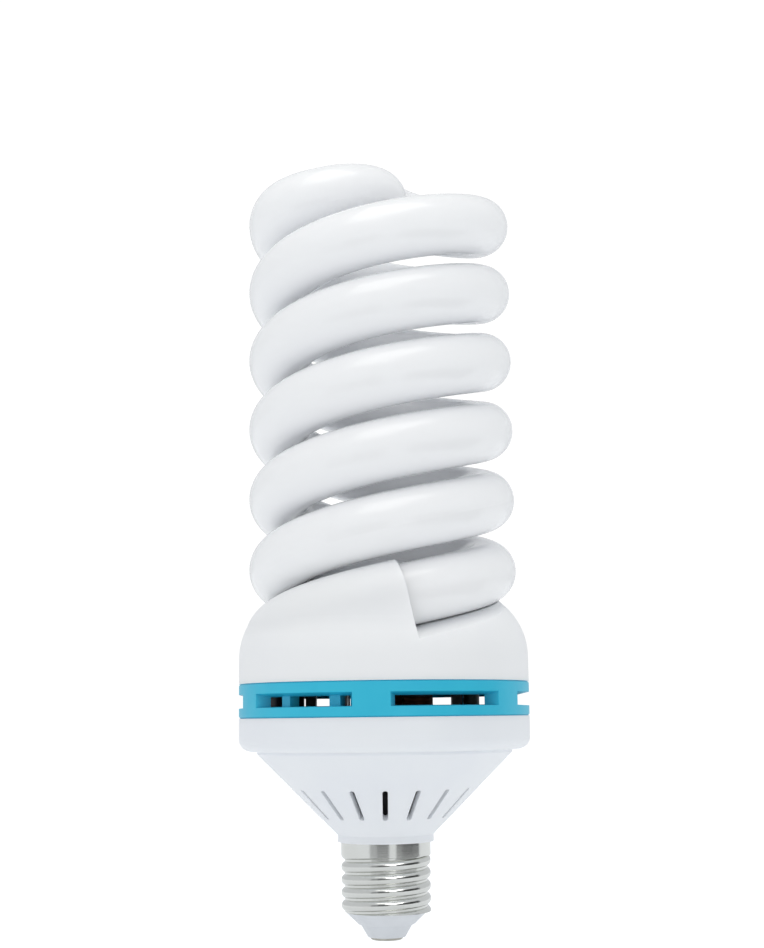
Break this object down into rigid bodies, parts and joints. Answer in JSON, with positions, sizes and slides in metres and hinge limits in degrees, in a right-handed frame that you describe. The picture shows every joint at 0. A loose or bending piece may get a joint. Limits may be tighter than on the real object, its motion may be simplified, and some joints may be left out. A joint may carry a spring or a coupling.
{
  "type": "compact fluorescent bulb",
  "caption": "Screw-in compact fluorescent bulb: a white double-helix glass tube on a domed two-part ballast housing with a cyan vent ring, a slotted cone and a threaded metal cap.",
  "frame": {"origin": "the tip of the centre contact, on the lamp's axis", "axes": "+Z along the lamp from the screw cap to the glass, -Y towards the front of the lamp, where one arm of the tube enters the housing"},
  "size_m": [0.0858, 0.0858, 0.2309],
  "materials": {
    "tube_glass": "opaque white, phosphor coated inside, gloss",
    "housing_plastic": "satin moulded",
    "ring_plastic": "satin moulded",
    "cap_metal": "nickel plated",
    "insulator_plastic": "matt moulded",
    "contact_metal": "tinned",
    "board_laminate": "matt laminate",
    "ferrite": "matt",
    "winding_copper": "enamelled",
    "capacitor_sleeve": "gloss sleeve",
    "film_capacitor": "dipped",
    "moulding_black": "matt moulded",
    "thermistor_coat": "dipped",
    "fuse_coat": "matt cement",
    "lead_metal": "tinned",
    "live_insulation": "gloss",
    "neutral_insulation": "gloss"
  },
  "bodies": {
    "root": {"spiral_tube": "tube_glass", "tube_holder": "housing_plastic", "vent_ring": "ring_plastic", "ballast_housing": "housing_plastic", "screw_shell": "cap_metal", "cap_insulator": "insulator_plastic", "centre_contact": "contact_metal", "circuit_board": "board_laminate", "choke_core": "ferrite", "choke_winding": "winding_copper", "filter_choke_core": "ferrite", "filter_choke_winding": "winding_copper", "bulk_capacitor_1": "capacitor_sleeve", "bulk_capacitor_2": "capacitor_sleeve", "resonant_capacitor": "film_capacitor", "blocking_capacitor": "film_capacitor", "drive_toroid": "ferrite", "power_transistor_1": "moulding_black", "power_transistor_2": "moulding_black", "rectifier_diode_1": "moulding_black", "rectifier_diode_2": "moulding_black", "rectifier_diode_3": "moulding_black", "rectifier_diode_4": "moulding_black", "fuse_resistor": "fuse_coat", "start_thermistor": "thermistor_coat", "wrap_pin_1": "lead_metal", "wrap_pin_2": "lead_metal", "wrap_pin_3": "lead_metal", "wrap_pin_4": "lead_metal", "electrode_lead_1": "lead_metal", "electrode_lead_2": "lead_metal", "electrode_lead_3": "lead_metal", "electrode_lead_4": "lead_metal", "live_wire": "live_insulation", "neutral_wire": "neutral_insulation"}
  },
  "joints": []
}
